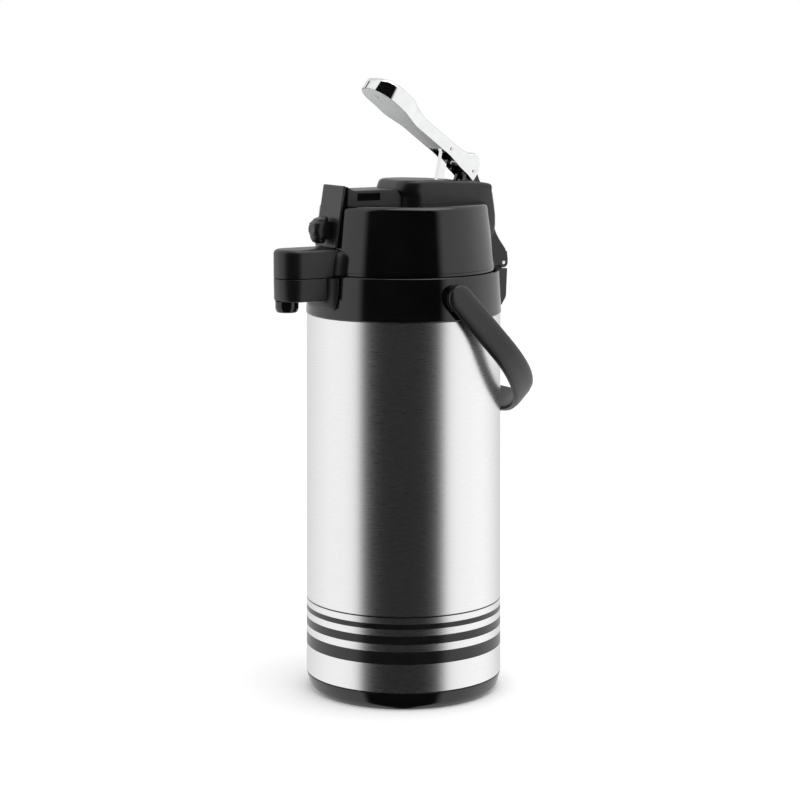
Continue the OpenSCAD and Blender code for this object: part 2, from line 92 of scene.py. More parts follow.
# ---- outline helpers -----------------------------------------------------------
def fillet(corners, steps=6):
    """A closed outline whose corners (x, y, radius) are rounded; a corner without a radius stays sharp."""
    out = []
    count = len(corners)
    for i, corner in enumerate(corners):
        x, y = corner[:2]
        radius = corner[2] if len(corner) > 2 else 0
        if not radius:
            out.append((x, y))
            continue
        here = Vector((x, y))
        to_prev = (Vector(corners[i - 1][:2]) - here).normalized()
        to_next = (Vector(corners[(i + 1) % count][:2]) - here).normalized()
        half = math.acos(max(-1, min(1, to_prev.dot(to_next)))) / 2
        if half > math.radians(89):
            out.append((x, y))
            continue
        reach = radius / math.tan(half)
        centre = here + (to_prev + to_next).normalized() * radius / math.sin(half)
        start = here + to_prev * reach - centre
        end = here + to_next * reach - centre
        turn = start.angle_signed(end)
        for k in range(steps + 1):
            a = -turn * k / steps
            out.append((
                centre.x + start.x * math.cos(a) - start.y * math.sin(a),
                centre.y + start.x * math.sin(a) + start.y * math.cos(a),
            ))
    return out


def smooth(a, b, t):
    """Eases from a to b as t goes from 0 to 1."""
    t = max(0, min(1, t))
    t = t * t * (3 - 2 * t)
    return a + (b - a) * t


def along(table, x):
    """Smooth value at x from a short table of (x, value) rows."""
    if x <= table[0][0]:
        return table[0][1]
    for (x0, v0), (x1, v1) in zip(table, table[1:]):
        if x <= x1:
            return smooth(v0, v1, (x - x0) / (x1 - x0))
    return table[-1][1]


# ---- mesh helpers --------------------------------------------------------------
def finish_mesh(name, verts, faces, sharp=32):
    mesh = bpy.data.meshes.new(name)
    mesh.from_pydata([tuple(c * MM for c in v) for v in verts], [], faces)
    bm = bmesh.new()
    bm.from_mesh(mesh)
    bmesh.ops.remove_doubles(bm, verts=bm.verts, dist=1e-6)
    bmesh.ops.dissolve_degenerate(bm, edges=bm.edges, dist=1e-7)
    bmesh.ops.recalc_face_normals(bm, faces=bm.faces)
    bm.to_mesh(mesh)
    bm.free()
    mesh.shade_smooth()
    mesh.set_sharp_from_angle(angle=math.radians(sharp))
    obj = bpy.data.objects.new(name, mesh)
    bpy.context.scene.collection.objects.link(obj)
    return obj


def dress(obj, body, slot, material, *nodes):
    """Gives a piece its body and its material, and hides the CAD nodes it stands for; the slot argument is
    not used.
    """
    obj.data.materials.append(material)
    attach(obj, body)
    if nodes:
        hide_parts(*nodes)
    return obj


def lathe(name, outline, centre=(0, 0), segments=192, axis="z", sharp=32):
    """Turns a closed outline of (radius, height) about a vertical axis, or about X."""
    verts, faces = [], []
    count = len(outline)
    for s in range(segments):
        a = 2 * math.pi * s / segments
        for r, h in outline:
            if axis == "z":
                verts.append((centre[0] + r * math.cos(a), centre[1] + r * math.sin(a), h))
            else:
                verts.append((h, centre[0] + r * math.cos(a), centre[1] + r * math.sin(a)))
    for s in range(segments):
        n = (s + 1) % segments
        for i in range(count):
            j = (i + 1) % count
            faces.append((s * count + i, n * count + i, n * count + j, s * count + j))
    return finish_mesh(name, verts, faces, sharp)


def loft(name, rings, sharp=32):
    """Joins equal rings of points into one skin, capped at both ends."""
    verts = [p for ring in rings for p in ring]
    count = len(rings[0])
    faces = []
    for k in range(len(rings) - 1):
        for i in range(count):
            j = (i + 1) % count
            faces.append((k * count + i, k * count + j, (k + 1) * count + j, (k + 1) * count + i))
    faces.append(tuple(range(count)))
    faces.append(tuple(range((len(rings) - 1) * count, len(rings) * count)))
    return finish_mesh(name, verts, faces, sharp)


def prism_x(name, outline, x0, x1, edge=1.0, segments=3, sharp=32):
    """A side outline of (y, z) pushed across X, its two side rims rounded."""
    obj = loft(name, [[(x, y, z) for y, z in outline] for x in (x0, x1)], sharp)
    if edge:
        bevel = obj.modifiers.new("rim", "BEVEL")
        bevel.width = edge * MM
        bevel.segments = segments
        bevel.limit_method = "ANGLE"
        bevel.angle_limit = math.radians(50)
    return obj


def side_name(side):
    return "right" if side > 0 else "left"


# ---- materials -----------------------------------------------------------------
def new_material(name):
    mat = bpy.data.materials.new(name)
    mat.use_nodes = True
    tree = mat.node_tree
    return mat, tree, tree.nodes["Principled BSDF"]


def noise(tree, scale, detail=3, stretch=(1, 1, 1), seed=0.0):
    """A noise node in object space; stretch squeezes it along an axis."""
    place = tree.nodes.new("ShaderNodeMapping")
    place.inputs["Scale"].default_value = stretch
    place.inputs["Location"].default_value = (seed, seed, seed)
    coord = tree.nodes.new("ShaderNodeTexCoord")
    node = tree.nodes.new("ShaderNodeTexNoise")
    node.inputs["Scale"].default_value = scale
    node.inputs["Detail"].default_value = detail
    tree.links.new(coord.outputs["Object"], place.inputs["Vector"])
    tree.links.new(place.outputs["Vector"], node.inputs["Vector"])
    return node


def spread(tree, source, low, high):
    """Maps a 0 to 1 signal onto a low to high range."""
    node = tree.nodes.new("ShaderNodeMapRange")
    node.inputs["From Min"].default_value = 0.3
    node.inputs["From Max"].default_value = 0.7
    node.inputs["To Min"].default_value = low
    node.inputs["To Max"].default_value = high
    tree.links.new(source, node.inputs["Value"])
    return node.outputs["Result"]


def tint(tree, source, dark, light):
    ramp = tree.nodes.new("ShaderNodeValToRGB")
    ramp.color_ramp.elements[0].position = 0.3
    ramp.color_ramp.elements[1].position = 0.7
    ramp.color_ramp.elements[0].color = (*dark, 1)
    ramp.color_ramp.elements[1].color = (*light, 1)
    tree.links.new(source, ramp.inputs["Fac"])
    return ramp.outputs["Color"]


def bump(tree, source, strength, distance, shader):
    node = tree.nodes.new("ShaderNodeBump")
    node.inputs["Strength"].default_value = strength
    node.inputs["Distance"].default_value = distance
    tree.links.new(source, node.inputs["Height"])
    tree.links.new(node.outputs["Normal"], shader.inputs["Normal"])


def plastic(name, dark, light, rough, grain=0.05, grain_scale=2200, shine=0.5):
    """Moulded plastic: slight colour drift, uneven gloss and a fine grain."""
    mat, tree, shader = new_material(name)
    drift = noise(tree, 22, 4)
    fine = noise(tree, grain_scale, 2, seed=3)
    tree.links.new(tint(tree, drift.outputs["Fac"], dark, light), shader.inputs["Base Color"])
    tree.links.new(spread(tree, drift.outputs["Fac"], rough * 0.88, rough * 1.15), shader.inputs["Roughness"])
    bump(tree, fine.outputs["Fac"], grain, 0.00003, shader)
    shader.inputs["IOR"].default_value = 1.5
    shader.inputs["Specular IOR Level"].default_value = shine
    return mat


def metal(name, dark, light, rough, stretch=(1, 1, 1), scale=900, depth=0.05, vary=0.18):
    """Bare metal with drawn or brushed lines that stretch sets the run of."""
    mat, tree, shader = new_material(name)
    lines = noise(tree, scale, 4, stretch)
    cloud = noise(tree, 14, 3, seed=7)
    shader.inputs["Metallic"].default_value = 1.0
    tree.links.new(tint(tree, lines.outputs["Fac"], dark, light), shader.inputs["Base Color"])
    mixed = tree.nodes.new("ShaderNodeMath")
    mixed.operation = "MULTIPLY_ADD"
    tree.links.new(cloud.outputs["Fac"], mixed.inputs[0])
    mixed.inputs[1].default_value = 0.3
    tree.links.new(lines.outputs["Fac"], mixed.inputs[2])
    scaled = tree.nodes.new("ShaderNodeMath")
    scaled.operation = "SUBTRACT"
    tree.links.new(mixed.outputs[0], scaled.inputs[0])
    scaled.inputs[1].default_value = 0.15
    tree.links.new(spread(tree, scaled.outputs[0], rough * (1 - vary), rough * (1 + vary)),
                    shader.inputs["Roughness"])
    bump(tree, lines.outputs["Fac"], depth, 0.00002, shader)
    return mat


BLACK = plastic("black_moulding", (0.0016, 0.0016, 0.0017), (0.003, 0.003, 0.0031), 0.11, grain=0.03)
SATIN = plastic("satin_moulding", (0.0016, 0.0016, 0.0017), (0.0032, 0.0032, 0.0033), 0.36, grain=0.1,
                grain_scale=1500)
HANDLE = plastic("handle_moulding", (0.004, 0.004, 0.0042), (0.007, 0.007, 0.0072), 0.36, grain=0.12,
                 grain_scale=1500)
RIBBED = plastic("button_moulding", (0.004, 0.004, 0.0042), (0.007, 0.007, 0.0072), 0.32, grain=0.1,
                 grain_scale=1500)
PAINT = plastic("band_paint", (0.003, 0.003, 0.0032), (0.006, 0.006, 0.0062), 0.24, grain=0.05)
BRUSHED = metal("brushed_casing", (0.70, 0.70, 0.705), (0.77, 0.77, 0.775), 0.28, stretch=(1, 1, 45),
                scale=110, depth=0.008, vary=0.06)
CHROME = metal("lever_chrome", (0.69, 0.695, 0.70), (0.74, 0.74, 0.745), 0.055, scale=160, depth=0.01)
PLATE = plastic("underside_plate", (0.47, 0.475, 0.48), (0.53, 0.535, 0.54), 0.4, grain=0.05)
PIN = metal("pin_steel", (0.6, 0.6, 0.61), (0.72, 0.72, 0.73), 0.25, stretch=(60, 1, 1), scale=55)
TUBE = metal("drawn_tube", (0.7, 0.7, 0.71), (0.8, 0.8, 0.81), 0.22, stretch=(60, 60, 1), scale=40)
FLASK = metal("flask_steel", (0.62, 0.63, 0.64), (0.74, 0.745, 0.75), 0.24, stretch=(1, 1, 40), scale=50)
WHITE = plastic("food_plastic", (0.72, 0.72, 0.70), (0.80, 0.80, 0.78), 0.42, grain=0.08, grain_scale=1200)
SILICONE = plastic("silicone", (0.52, 0.53, 0.53), (0.62, 0.63, 0.63), 0.5, grain=0.15, grain_scale=900)
RUBBER = plastic("rubber", (0.03, 0.03, 0.03), (0.045, 0.045, 0.045), 0.6, grain=0.2, grain_scale=900)
# painted shadow: a near-black, matt finish for solid pieces that stand in for the shade in gaps and recesses
PAINTED_SHADOW_FINISH = plastic("painted_shadow", (0.0012, 0.0012, 0.0012), (0.0022, 0.0022, 0.0022), 0.7, shine=0.05)

CAD_FINISH = {
    "black_plastic": BLACK, "handle_plastic": HANDLE, "button_plastic": RIBBED, "brushed_steel": BRUSHED,
    "lever_chrome": CHROME, "cover_grey": PLATE, "pin_steel": PIN, "steel_tube": TUBE, "flask_steel": FLASK,
    "white_plastic": WHITE, "silicone": SILICONE, "rubber": RUBBER,
}
NODE_FINISH = {"cover_screws": PLATE}
for row in frame["record"]["subparts"]:
    finish = NODE_FINISH.get(row["node"], CAD_FINISH[row["material_slot"]])
    slots = frame["nodes"][row["node"]].data.materials
    if len(slots):
        for i in range(len(slots)):
            slots[i] = finish
    else:
        slots.append(finish)


# ---- pot -----------------------------------------------------------------------
def casing_r(z):
    return BODY_R - TAPER * (z - CASING_Z0) / (COLLAR_Z - CASING_Z0)


def make_base():
    """The low cup under the casing, drawn in towards the foot."""
    rim = BODY_R - 0.15
    outline = fillet([
        (0, 0.0), (BODY_R - 5.2, 0.0, 2.2), (BODY_R - 2.6, 4.0, 9), (rim, CASING_Z0 - 0.7, 0.4),
        (BODY_R - 1.0, CASING_Z0 - 0.3), (BODY_R - 1.4, CASING_Z0 + 6), (BODY_R - 4, CASING_Z0 + 6),
        (BODY_R - 6, 8), (BODY_R - 10, 3), (0, 3),
    ])
    dress(lathe("base_cup_shell", outline), "pot", "black_plastic", BLACK, "base_cup")


# painted bands, as heights above the casing's foot: (low, high)
BANDS = ((24.1, 34.6), (40.8, 47.8), (53.4, 57.8), (63.0, 64.2))


def make_casing():
    """The brushed steel sheet, with its painted bands."""
    z0, z1 = CASING_Z0, COLLAR_Z
    heights = [z0 + 0.5] + [z0 + h for band in BANDS for h in band] + [z1 - 0.6]
    outer = [(casing_r(z0) - 0.5, z0)] + [(casing_r(z), z) for z in heights] + [(casing_r(z1) - 0.4, z1)]
    inner = [(casing_r(z1) - 0.8, z1), (casing_r(z0) - 0.8, z0)]
    obj = lathe("casing_sheet", outer + inner, segments=256)
    dress(obj, "pot", "brushed_steel", BRUSHED, "steel_casing")
    obj.data.materials.append(PAINT)
    for face in obj.data.polygons:
        z = face.center.z / MM - z0
        wall = math.hypot(face.center.x, face.center.y) / MM > casing_r(face.center.z / MM) - 0.35
        face.material_index = int(wall and any(low < z < high for low, high in BANDS))


def make_collar():
    """The ring on top of the casing, with the two round bosses that the handle turns on."""
    foot, top = casing_r(COLLAR_Z) + 0.75, casing_r(COLLAR_Z) - 1.25
    inner = top - 3
    outline = fillet([
        (foot - 2.2, COLLAR_Z - 11), (foot - 1.7, COLLAR_Z), (foot, COLLAR_Z + 0.2, 0.6),
        (top, SEAM_Z - 0.1, 1.1), (inner, SEAM_Z - 0.1, 0.6), (inner + 0.8, COLLAR_Z + 4),
        (60, COLLAR_Z + 4), (60, COLLAR_Z), (inner - 0.6, COLLAR_Z), (inner - 0.6, COLLAR_Z - 11),
    ])
    dress(lathe("collar_ring", outline), "pot", "black_plastic", BLACK, "collar")
    for side in (-1, 1):
        root, tip = side * (top - 3), side * (HANDLE_PIN_HIGH.x - 4.3)
        boss = fillet([
            (4, root), (12.2, root), (11.1, side * (top + 1.2), 1.5), (11, side * (top + 2.2)),
            (10.4, side * (top + 2.4)), (10.4, side * (top + 2.9)), (10.9, side * (top + 3.1)),
            (10.9, tip, 0.6), (4, tip),
        ])
        obj = lathe(f"handle_boss_{side_name(side)}", boss, centre=(0, BAIL_Z), axis="x",
                    segments=96)
        dress(obj, "pot", "black_plastic", BLACK)


def make_rear_bracket():
    """The hinge bracket on the collar: a wide curved plate with one middle knuckle."""
    half, middle = HINGE_HIGH.x - 0.2, 11.6
    knuckle = 4.1
    seat = HINGE.z - 4.9
    plate = fillet([
        (76, COLLAR_Z + 0.6), (HINGE.y - 2, COLLAR_Z + 1.6, 3), (HINGE.y + 3.0, COLLAR_Z + 9, 6),
        (HINGE.y + 4.0, seat, 0.8), (HINGE.y - 3.4, seat, 0.6), (76, SEAM_Z - 2.6),
    ])
    dress(prism_x("hinge_bracket", plate, -half, half, 1.6, 4), "pot", "black_plastic", BLACK)
    eye = fillet([
        (HINGE.y + knuckle, seat - 3), (HINGE.y + knuckle, HINGE.z + knuckle, 4.05),
        (HINGE.y - knuckle, HINGE.z + knuckle, 4.05), (HINGE.y - knuckle, seat - 3),
    ], 8)
    dress(prism_x("hinge_eye", eye, -middle, middle, 0.3), "pot", "black_plastic", BLACK)


# ---- carrying handle -----------------------------------------------------------
def make_handle():
    """Rings of the bail: up one arm from its round end, round the corners and the grip, and back."""
    arm_x = HANDLE_HIGH.x - 2.75
    swell = 0.10
    thick, width = 5.3, 24.6
    reach, corner = 135.0, 77.0
    end_r = width / 2
    stations = []
    for k in range(13):
        d = end_r * math.cos(math.pi / 2 * k / 12)
        stations.append((arm_x, -d, 1, 0, max(0.6, 2 * math.sqrt(max(0.0, end_r ** 2 - d ** 2)))))
    straight = reach - corner
    for k in range(1, 9):
        stations.append((arm_x, straight * k / 8, 1, 0, width))
    for k in range(1, 25):
        a = math.pi / 2 * k / 24
        stations.append((arm_x - corner + corner * math.cos(a), straight + corner * math.sin(a),
                         math.cos(a), math.sin(a), width))
    far = [(-x, y, -nx, ny, w) for x, y, nx, ny, w in reversed(stations)]
    middle = [(arm_x - corner - 2 * (arm_x - corner) * k / 8, reach, 0, 1, width) for k in range(1, 8)]
    rings = []
    for x, y, nx, ny, w in stations + middle + far:
        grip = 1 + swell * smooth(0, 1, (y - 60) / 60)
        t, half = thick / 2, w / 2
        r = min(2.0, half * 0.45)
        section = fillet([
            (-t, -half, r * 0.7), (t * 0.55, -half, r), (t, -half * 0.55, 5), (t, half * 0.55, 5),
            (t * 0.55, half, r), (-t, half, r * 0.7),
        ], 4) if half > 4 else fillet([
            (-t, -half, r * 0.4), (t * 0.9, -half, r * 0.4), (t, -half * 0.55), (t, half * 0.55),
            (t * 0.9, half, r * 0.4), (-t, half, r * 0.4),
        ], 4)
        ring = []
        for n, b in section:
            lx, ly, lz = x + nx * n, y + ny * n, b * (grip if half > 4 else 1) / (1 + swell)
            ring.append((
                lx,
                ly * math.cos(BAIL_DOWN) + lz * math.sin(BAIL_DOWN),
                BAIL_Z - ly * math.sin(BAIL_DOWN) + lz * math.cos(BAIL_DOWN),
            ))
        rings.append(ring)
    return rings


def same_count(rings):
    """Resamples rings to one point count, spaced evenly along each ring."""
    count = max(len(r) for r in rings)
    out = []
    for ring in rings:
        pts = [Vector(p) for p in ring]
        lengths = [0.0]
        for a, b in zip(pts, pts[1:] + pts[:1]):
            lengths.append(lengths[-1] + (b - a).length)
        new, seg = [], 0
        for k in range(count):
            want = lengths[-1] * k / count
            while lengths[seg + 1] < want:
                seg += 1
            span = lengths[seg + 1] - lengths[seg] or 1
            a, b = pts[seg], pts[(seg + 1) % len(pts)]
            new.append(tuple(a.lerp(b, (want - lengths[seg]) / span)))
        out.append(new)
    return out


# ---- lid -----------------------------------------------------------------------
def drum_r(z):
    low, high = DRUM_R, DRUM_R - 6.2
    return low - (low - high) * (z - SEAM_Z - 1) / (DRUM_TOP - 4 - SEAM_Z)


def make_drum():
    """The lid's outer shell: a tapered drum over a low skirt."""
    skirt = DRUM_R - 0.9
    outline = fillet([
        (skirt, DRUM_LOW.z + 0.3), (skirt, SEAM_Z + 0.2), (DRUM_R - 0.5, SEAM_Z + 0.4, 0.3),
        (DRUM_R - 0.6, SEAM_Z + 2.6), (DRUM_R - 0.1, SEAM_Z + 2.9, 0.2), (DRUM_R - 0.2, SEAM_Z + 3.6),
        (drum_r(DRUM_TOP) + 0.1, DRUM_TOP - 0.1, 4.5), (20, DRUM_TOP - 0.1), (20, DRUM_TOP - 2.4),
        (drum_r(DRUM_TOP) - 3, DRUM_TOP - 2.4, 2), (DRUM_R - 2.6, SEAM_Z), (skirt - 2, DRUM_LOW.z + 0.3),
    ])
    dress(lathe("lid_drum", outline, segments=224), "lid", "black_plastic", BLACK, "lid_shell")


def saddle_plan(front, half, rear, corner):
    """Plan of the raised saddle: straight sides, wide rounded front corners, a square back."""
    pts = []
    for k in range(17):
        a = math.pi / 2 * k / 16
        pts.append((half - corner + corner * math.cos(a), front + corner - corner * math.sin(a)))
    for k in range(17):
        a = math.pi / 2 + math.pi / 2 * k / 16
        pts.append((-half + corner + corner * math.cos(a), front + corner - corner * math.sin(a)))
    ys = (14, 26, 38, 50, 58, 64)
    pts += [(-half, y) for y in ys] + [(-half, rear - 2), (-half + 2, rear)]
    pts += [(half - 2, rear), (half, rear - 2)] + [(half, y) for y in reversed(ys)]
    return pts


def make_saddle():
    """The top cover: the saddle over the pump, running back and down into the hinge spine."""
    peak = COVER_HIGH.z - 1.0

    def crown(y):
        return along([(-16, peak), (5, peak - 0.2), (40, peak - 1.6), (58, peak - 3.0), (70, peak - 4.6)], y)

    base, lip = DRUM_TOP - 4, DRUM_TOP + 8.5
    rings = []
    # height below the crown (or a fixed height), front edge, inset of the sides, corner radius
    levels = [
        (base, -13.5, 0.3, 15), (DRUM_TOP + 5, -13.5, 0.3, 15), (DRUM_TOP + 7, -14.0, 0.3, 15),
        (lip, -15.6, 0.3, 16), (lip + 1.4, -16.8, 0.3, 17), (lip + 3.2, -16.8, 0.3, 17),
        (-3.0, -15.2, 0.3, 17), (-1.6, -14.4, 0.55, 17), (-0.8, -13.6, 1.1, 17), (-0.25, -12.6, 2.0, 17),
        (0, -11.2, 3.2, 16),
    ]
    for z, front, inset, corner in levels:
        half = SADDLE_HALF - inset
        rear = 70.6 - max(0.0, inset - 0.3)
        plan = saddle_plan(front, half, rear, corner)
        rings.append([(x, y, z if z > DRUM_TOP / 2 else crown(y) + z) for x, y in plan])
    saddle = loft("saddle_cover", rings, sharp=38)
    dress(saddle, "lid", "black_plastic", SATIN, "top_cover")

    spine = [
        (66, COVER_HIGH.z - 9), (66, HINGE.z + 5.2), (HINGE.y - 1, HINGE.z + 5.2),
        (HINGE.y + 2.9, HINGE.z + 5.2),
        (HINGE.y + 3.6, HINGE.z + 6.4), (HINGE.y + 3.4, HINGE.z + 8.4), (HINGE.y + 2.2, SEAM_Z + 14.6),
        (HINGE.y - 0.6, SEAM_Z + 18.4), (83.2, SEAM_Z + 22.6), (80.2, SEAM_Z + 27.4), (77.9, SEAM_Z + 32.6),
        (76.3, SEAM_Z + 38), (75.0, DRUM_TOP - 10), (73.6, DRUM_TOP - 2), (71.0, COVER_HIGH.z - 9),
    ]
    upper = prism_x("hinge_spine", spine, -HINGE_HIGH.x + 0.2, HINGE_HIGH.x - 0.2, 1.2, 3)
    dress(upper, "lid", "black_plastic", SATIN)
    rings = []
    shoulders = [
        (COVER_HIGH.z - 9, 69.5, 0.2), (DRUM_TOP + 6, 71.2, 0.2), (DRUM_TOP - 4, 73.0, 0.3),
        (DRUM_TOP - 12, 74.4, 0.8), (DRUM_TOP - 20, 75.8, 2.6), (SEAM_Z + 30, 77.0, 5.4),
        (SEAM_Z + 24, 77.6, 8.2),
    ]
    for z, rear, inset in shoulders:
        half = SADDLE_HALF - inset
        rings.append([(half, 56, z), (half, rear - 3, z), (half - 0.9, rear - 0.9, z), (half - 3, rear, z),
                      (3 - half, rear, z), (0.9 - half, rear - 0.9, z), (-half, rear - 3, z), (-half, 56, z)])
    dress(loft("spine_shoulders", rings, sharp=50), "lid", "black_plastic", SATIN)
    cheek = fillet([
        (HINGE.y + 4.1, HINGE.z - 4.1, 4.05), (HINGE.y - 4.2, HINGE.z - 4.1, 4.05),
        (HINGE.y - 4.2, SEAM_Z + 0.7), (76.5, SEAM_Z + 0.7), (76.5, HINGE.z + 9.5),
        (HINGE.y + 3.2, HINGE.z + 9.5), (HINGE.y + 4.1, HINGE.z + 3, 3),
    ], 8)
    for side in (-1, 1):
        x0, x1 = sorted((side * 12.1, side * (HINGE_HIGH.x - 0.05)))
        obj = prism_x(f"lid_cheek_{side_name(side)}", cheek, x0, x1, 0.5)
        dress(obj, "lid", "black_plastic", SATIN)


def make_paddle_rest():
    """The low block between the saddle and the front cover, where the lever's paddle comes down."""
    half = SPOUT_HALF + 0.4
    top = DRUM_TOP + 12
    back = -63.4
    outline = fillet([
        (back - 1.2, DRUM_TOP - 3), (back, TOWER_HIGH.z - 0.9, 1.0), (back + 4.4, TOWER_HIGH.z - 3.4, 1.5),
        (back + 7, top, 2), (-8, top), (-8, DRUM_TOP - 3),
    ])
    dress(prism_x("paddle_rest", outline, -half, half, 0.9), "lid", "black_plastic", SATIN)
    # painted shade: on each side a thin near-black plate, standing just proud of the solid block, stands in
    # for the shade of a recess
    for side in (-1, 1):
        painted_pocket_shade = fillet([(-54.6, DRUM_TOP + 3.6, 0.6), (-54.6, top - 2.4, 0.6),
                         (-33, top - 2.4, 0.6), (-33, DRUM_TOP + 3.6, 0.6)])
        x0, x1 = sorted((side * (half - 1), side * (half + 0.15)))
        dress(prism_x(f"rest_painted_pocket_shade_{side_name(side)}", painted_pocket_shade, x0, x1, 0), "lid", "black_plastic", PAINTED_SHADOW_FINISH)


def make_tower():
    """The narrow front cover: a leaning plate, with a solid dark block behind it painted as the shadow in the
    gap between it and the lid.
    """
    foot, top = TOWER_LOW.z + 0.2, TOWER_HIGH.z - 0.1
    front_low, front_top = TOWER_LOW.y + 0.2, TOWER_LOW.y + 8.6
    skin, gap = 2.0, 2.6
    plate = fillet([
        (front_low, foot), (front_top, top, 1.4), (front_top + skin, top, 0.4), (front_low + skin, foot),
    ])
    dress(prism_x("front_tower", plate, -SPOUT_HALF + 0.1, SPOUT_HALF - 0.1, 0.7, 3), "lid",
          "black_plastic", SATIN, "front_cover")
    # painted shadow: a solid near-black block behind the plate stands in for the shade in the gap between the
    # plate and the lid
    shade = [
        (front_low + skin - 0.3, foot), (front_top + skin - 0.3, top - 1.0),
        (front_top + skin + gap, top - 1.0), (front_low + skin + gap, foot),
    ]
    dress(prism_x("tower_gap_painted_shadow", shade, 1.0 - SPOUT_HALF, SPOUT_HALF - 1.0, 0), "lid",
          "black_plastic", PAINTED_SHADOW_FINISH)


def nose_ring(z, inset, back):
    """One level of the spout's plan: straight sides closed by a full round front."""
    round_r = SPOUT_HALF - 1.0 - inset
    half = SPOUT_HALF - 0.05 - inset
    centre = SPOUT_TIP + SPOUT_HALF - 0.9
    pts = [(half, back, z), (half, back - 12, z)]
    for k in range(17):
        a = math.pi / 2 * k / 16
        pts.append((half - round_r + round_r * math.cos(a), centre - round_r * math.sin(a), z))
    for k in range(17):
        a = math.pi / 2 + math.pi / 2 * k / 16
        pts.append((-half + round_r + round_r * math.cos(a), centre - round_r * math.sin(a), z))
    return pts + [(-half, back - 12, z), (-half, back, z)]


def make_nose():
    """The spout's two halves, parted by the seam."""
    collar_back, drum_back = -79.6, -70.5
    top = NOSE_HIGH.z - 0.1
    low = LOWER_NOSE_LOW.z + 8.05
    seam = SPOUT_SEAM
    levels = [(seam + 0.1, 0.5), (seam + 0.45, 0.08), (top - 3.4, 0.1), (top - 2.2, 0.4), (top - 1.2, 1.0),
              (top - 0.5, 1.9), (top - 0.1, 3.0), (top, 4.2)]
    upper = [nose_ring(z, inset, drum_back) for z, inset in levels]
    dress(loft("spout_top_half", upper, sharp=40), "lid", "black_plastic", SATIN, "spout_upper")
    levels = [(low, 1.6), (low + 0.5, 0.8), (low + 1.4, 0.3), (seam - 0.6, 0.08), (seam - 0.2, 0.5)]
    lower = [nose_ring(z, inset, collar_back) for z, inset in levels]
    dress(loft("spout_low_half", lower, sharp=40), "lid", "black_plastic", SATIN, "spout_lower")


def flange_ring(z, radius, half, thick):
    """An arc hugging the pot, thinned smoothly towards both of its ends."""
    pts = []
    for k in range(25):
        t = 1 - 2 * k / 24
        a = math.asin(half / radius) * t
        r = radius + thick * (1 - abs(t) ** 5)
        pts.append((r * math.sin(a), -r * math.cos(a), z))
    return pts


def make_flange():
    """The thin plate at the spout's root, hugging the collar and the drum."""
    def build(name, levels):
        rings = []
        for z, inner, half, thick in levels:
            rings.append(flange_ring(z, inner, half, thick) + flange_ring(z, inner - 0.6, half, 0)[::-1])
        dress(loft(name, rings, sharp=40), "lid", "black_plastic", SATIN)

    clear = casing_r(COLLAR_Z) + 1.4
    foot = LOWER_NOSE_LOW.z
    build("spout_foot", [
        (foot + 0.3, clear, 19.5, 0.3), (foot + 1.2, clear, 21.5, 1.6), (foot + 3, clear, 22.8, 2.4),
        (foot + 7, clear, 23.8, 2.8), (foot + 14, clear, 24.8, 3.0), (SPOUT_SEAM - 0.2, clear, 25.4, 3.0),
    ])
    build("spout_saddle", [
        (SEAM_Z + 0.7, 75.2, 25.6, 4.2), (SEAM_Z + 8, 74.6, 25.8, 4.0), (SEAM_Z + 15, 73.8, 25.0, 3.6),
        (SEAM_Z + 18.6, 73.4, 22.5, 2.6), (SEAM_Z + 20.4, 73.2, 18.5, 0.4),
    ])


def make_nozzle():
    """The short pouring ring under the spout's end."""
    y = (NOZZLE_LOW.y + NOZZLE_HIGH.y) / 2
    outer = (NOZZLE_HIGH.x - NOZZLE_LOW.x) / 2 - 0.05
    low = NOZZLE_LOW.z + 0.05
    outline = fillet([
        (4.6, low + 2.5), (6.2, low + 0.6, 0.6), (7.6, low, 0.4), (outer - 0.9, low + 0.9, 1.2),
        (outer, low + 3.6, 1), (outer, low + 9.1), (4.6, low + 9.1),
    ])
    dress(lathe("nozzle_ring", outline, centre=(0, y), segments=96), "lid", "black_plastic", BLACK, "nozzle")


# the thumb button, from its foot (0) to its top (1): how far it stands out, and its half width
BUTTON_REACH = [(0, 5.6), (0.06, 7.8), (0.2, 10.0), (0.55, 12.9), (0.75, 12.4), (0.9, 9.2), (1.0, 5.0)]
BUTTON_HALF = [(0, 4.2), (0.08, 5.6), (0.3, 6.6), (0.7, 6.9), (0.9, 6.2), (1.0, 4.4)]
RIBS = 7


def make_button():
    """The ribbed thumb button: a drop shape on a neck, with small grip ribs on its face."""
    low, high = KNOB_LOW.z + 0.1, KNOB_HIGH.z - 0.1
    height = high - low
    rings = []
    steps = 96
    for k in range(steps + 1):
        t = k / steps
        z = low + height * t
        reach = along(BUTTON_REACH, t)
        half = along(BUTTON_HALF, t)
        groove = 0.0
        if 0.14 < t < 0.86:
            groove = 0.5 * (0.5 - 0.5 * math.cos((t - 0.14) / 0.72 * 2 * math.pi * RIBS))
        face = -78.1 + (z - low) * 0.16
        shoulder = face - reach * 0.5
        ring = [(half - 0.8, face), (half, face - 0.8)]
        for j in range(17):
            a = math.pi * j / 16
            dip = groove * smooth(0, 1, (math.sin(a) - 0.35) / 0.4)
            ring.append((half * math.copysign(abs(math.cos(a)) ** 0.55, math.cos(a)),
                         shoulder - (reach * 0.5 - dip) * math.sin(a) ** 0.8))
        ring += [(-half, face - 0.8), (-half + 0.8, face)]
        rings.append([(x, max(y, KNOB_LOW.y + 0.05), z) for x, y in ring])
    dress(loft("thumb_button", rings, sharp=50), "lock", "button_plastic", RIBBED, "lock_button")
    mid = KNOB_LOW.z + 10.5
    neck = fillet([(-81, mid - 7.3, 0.8), (-81, mid + 7.3, 0.8), (-66.2, mid + 7.3), (-66.2, mid - 7.3)])
    dress(prism_x("thumb_button_neck", neck, -4.9, 4.9, 0.6), "lock", "button_plastic", RIBBED)


